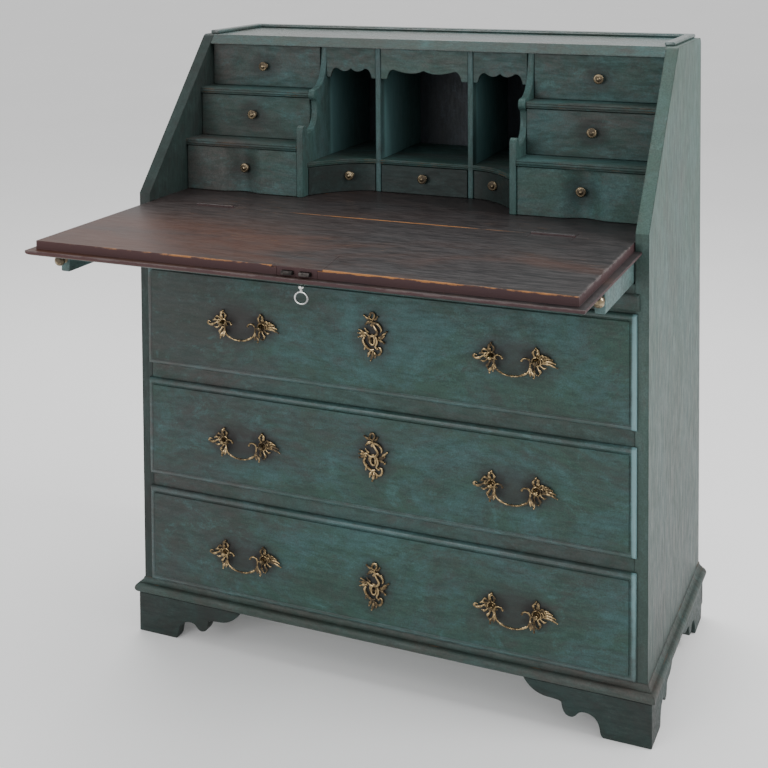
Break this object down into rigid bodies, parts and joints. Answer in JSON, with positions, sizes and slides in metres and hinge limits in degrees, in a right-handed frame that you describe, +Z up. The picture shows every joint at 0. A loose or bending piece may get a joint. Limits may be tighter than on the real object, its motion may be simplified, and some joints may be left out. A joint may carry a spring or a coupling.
{
  "type": "slant-front writing desk",
  "caption": "Slant-front writing desk: fall open on pulled-out lopers, pigeonholes and small drawers inside, long drawers with bail handles below, on bracket feet.",
  "frame": {"origin": "on the floor under the centre of the bounding box, with the fall open and the drawers closed", "axes": "+Z up; +X to the right of someone who stands in front of the desk; the front, where the drawers open, faces -Y"},
  "size_m": [0.9278, 0.797, 1.064],
  "materials": {
    "case_paint": "worn green-blue paint, satin",
    "drawer_paint": "worn green-blue paint, satin",
    "interior_paint": "worn green-blue paint, satin",
    "dark_back": "dark blue-green paint, dull",
    "bare_wood": "bare old softwood, dull",
    "fall_finish": "worn charcoal paint, satin",
    "aged_brass": "aged, dark in the hollows",
    "old_iron": "dark, worn",
    "bright_steel": "bright, slightly worn"
  },
  "bodies": {
    "carcass": {"side_left": "case_paint", "side_right": "case_paint", "top_board": "case_paint", "top_rim": "case_paint", "back_panel": "dark_back", "bottom_board": "case_paint", "rail_lower": "case_paint", "dust_board_lower": "bare_wood", "rail_upper": "case_paint", "dust_board_upper": "bare_wood", "loper_rail": "case_paint", "loper_board": "bare_wood", "rail_strip": "case_paint", "bed_frame": "case_paint", "desk_bed": "fall_finish", "base_moulding": "case_paint", "foot_front_left": "case_paint", "foot_front_right": "case_paint", "foot_rear_left": "case_paint", "foot_rear_right": "case_paint", "stepped_divider_left": "interior_paint", "stepped_divider_right": "interior_paint", "pigeonhole_divider_left": "interior_paint", "pigeonhole_divider_right": "interior_paint", "pigeonhole_floor": "interior_paint", "stack_shelf_upper_left": "interior_paint", "stack_shelf_upper_right": "interior_paint", "stack_shelf_lower_left": "interior_paint", "stack_shelf_lower_right": "interior_paint", "valance_left": "interior_paint", "valance_centre": "interior_paint", "valance_right": "interior_paint", "hinge_bed_leaf_left": "old_iron", "hinge_bed_leaf_right": "old_iron"},
    "fall": {"fall_board": "fall_finish", "fall_lock": "old_iron", "hinge_fall_leaf_left": "old_iron", "hinge_fall_leaf_right": "old_iron"},
    "key": {"fall_key": "bright_steel"},
    "lock_bolt": {"fall_lock_bolt": "old_iron"},
    "loper_l": {"loper_left": "interior_paint"},
    "loper_r": {"loper_right": "interior_paint"},
    "upper_drawer": {"long_drawer_upper": "drawer_paint"},
    "upper_left_bail": {"bail_upper_left": "aged_brass"},
    "upper_right_bail": {"bail_upper_right": "aged_brass"},
    "middle_drawer": {"long_drawer_middle": "drawer_paint"},
    "middle_left_bail": {"bail_middle_left": "aged_brass"},
    "middle_right_bail": {"bail_middle_right": "aged_brass"},
    "lower_drawer": {"long_drawer_lower": "drawer_paint"},
    "lower_left_bail": {"bail_lower_left": "aged_brass"},
    "lower_right_bail": {"bail_lower_right": "aged_brass"},
    "top_left_small_drawer": {"drawer_top_left": "interior_paint"},
    "top_right_small_drawer": {"drawer_top_right": "interior_paint"},
    "middle_left_small_drawer": {"drawer_middle_left": "interior_paint"},
    "middle_right_small_drawer": {"drawer_middle_right": "interior_paint"},
    "bottom_left_small_drawer": {"drawer_bottom_left": "interior_paint"},
    "bottom_right_small_drawer": {"drawer_bottom_right": "interior_paint"},
    "row_left_small_drawer": {"drawer_row_left": "interior_paint"},
    "row_centre_small_drawer": {"drawer_row_centre": "interior_paint"},
    "row_right_small_drawer": {"drawer_row_right": "interior_paint"}
  },
  "joints": [
    {"name": "fall_hinge", "type": "hinge", "parent": "carcass", "child": "fall", "pos_m": [0, -0.0465, 0.778], "axis": [1, 0, 0], "range_deg": [-131.8, 0]},
    {"name": "key_turn", "type": "hinge", "parent": "fall", "child": "key", "pos_m": [0.021, -0.3705, 0.74], "axis": [0, 0, 1], "range_deg": [-90, 0]},
    {"name": "lock_bolt_slide", "type": "slide", "parent": "fall", "child": "lock_bolt", "axis": [0, 1, 0], "range_m": [0, 0.006]},
    {"name": "loper_left_slide", "type": "slide", "parent": "carcass", "child": "loper_l", "axis": [0, -1, 0], "range_m": [-0.27, 0.015]},
    {"name": "loper_right_slide", "type": "slide", "parent": "carcass", "child": "loper_r", "axis": [0, -1, 0], "range_m": [-0.184, 0.076]},
    {"name": "upper_drawer_slide", "type": "slide", "parent": "carcass", "child": "upper_drawer", "axis": [0, -1, 0], "range_m": [0, 0.33]},
    {"name": "upper_left_bail_swing", "type": "hinge", "parent": "upper_drawer", "child": "upper_left_bail", "pos_m": [-0.241, -0.0705, 0.58], "axis": [-1, 0, 0], "range_deg": [0, 85]},
    {"name": "upper_right_bail_swing", "type": "hinge", "parent": "upper_drawer", "child": "upper_right_bail", "pos_m": [0.241, -0.0705, 0.58], "axis": [-1, 0, 0], "range_deg": [0, 85]},
    {"name": "middle_drawer_slide", "type": "slide", "parent": "carcass", "child": "middle_drawer", "axis": [0, -1, 0], "range_m": [0, 0.33]},
    {"name": "middle_left_bail_swing", "type": "hinge", "parent": "middle_drawer", "child": "middle_left_bail", "pos_m": [-0.241, -0.0705, 0.374], "axis": [-1, 0, 0], "range_deg": [0, 85]},
    {"name": "middle_right_bail_swing", "type": "hinge", "parent": "middle_drawer", "child": "middle_right_bail", "pos_m": [0.241, -0.0705, 0.374], "axis": [-1, 0, 0], "range_deg": [0, 85]},
    {"name": "lower_drawer_slide", "type": "slide", "parent": "carcass", "child": "lower_drawer", "axis": [0, -1, 0], "range_m": [0, 0.33]},
    {"name": "lower_left_bail_swing", "type": "hinge", "parent": "lower_drawer", "child": "lower_left_bail", "pos_m": [-0.241, -0.0705, 0.176], "axis": [-1, 0, 0], "range_deg": [0, 85]},
    {"name": "lower_right_bail_swing", "type": "hinge", "parent": "lower_drawer", "child": "lower_right_bail", "pos_m": [0.241, -0.0705, 0.176], "axis": [-1, 0, 0], "range_deg": [0, 85]},
    {"name": "top_left_small_drawer_slide", "type": "slide", "parent": "carcass", "child": "top_left_small_drawer", "axis": [0, -1, 0], "range_m": [0, 0.14]},
    {"name": "top_right_small_drawer_slide", "type": "slide", "parent": "carcass", "child": "top_right_small_drawer", "axis": [0, -1, 0], "range_m": [0, 0.14]},
    {"name": "middle_left_small_drawer_slide", "type": "slide", "parent": "carcass", "child": "middle_left_small_drawer", "axis": [0, -1, 0], "range_m": [0, 0.18]},
    {"name": "middle_right_small_drawer_slide", "type": "slide", "parent": "carcass", "child": "middle_right_small_drawer", "axis": [0, -1, 0], "range_m": [0, 0.18]},
    {"name": "bottom_left_small_drawer_slide", "type": "slide", "parent": "carcass", "child": "bottom_left_small_drawer", "axis": [0, -1, 0], "range_m": [0, 0.118]},
    {"name": "bottom_right_small_drawer_slide", "type": "slide", "parent": "carcass", "child": "bottom_right_small_drawer", "axis": [0, -1, 0], "range_m": [0, 0.118]},
    {"name": "row_left_small_drawer_slide", "type": "slide", "parent": "carcass", "child": "row_left_small_drawer", "axis": [0, -1, 0], "range_m": [0, 0.14]},
    {"name": "row_centre_small_drawer_slide", "type": "slide", "parent": "carcass", "child": "row_centre_small_drawer", "axis": [0, -1, 0], "range_m": [0, 0.14]},
    {"name": "row_right_small_drawer_slide", "type": "slide", "parent": "carcass", "child": "row_right_small_drawer", "axis": [0, -1, 0], "range_m": [0, 0.14]}
  ],
  "couplings": [
    {"joint": "key_turn", "follows": "lock_bolt_slide", "rad_per_m": -261.79}
  ]
}
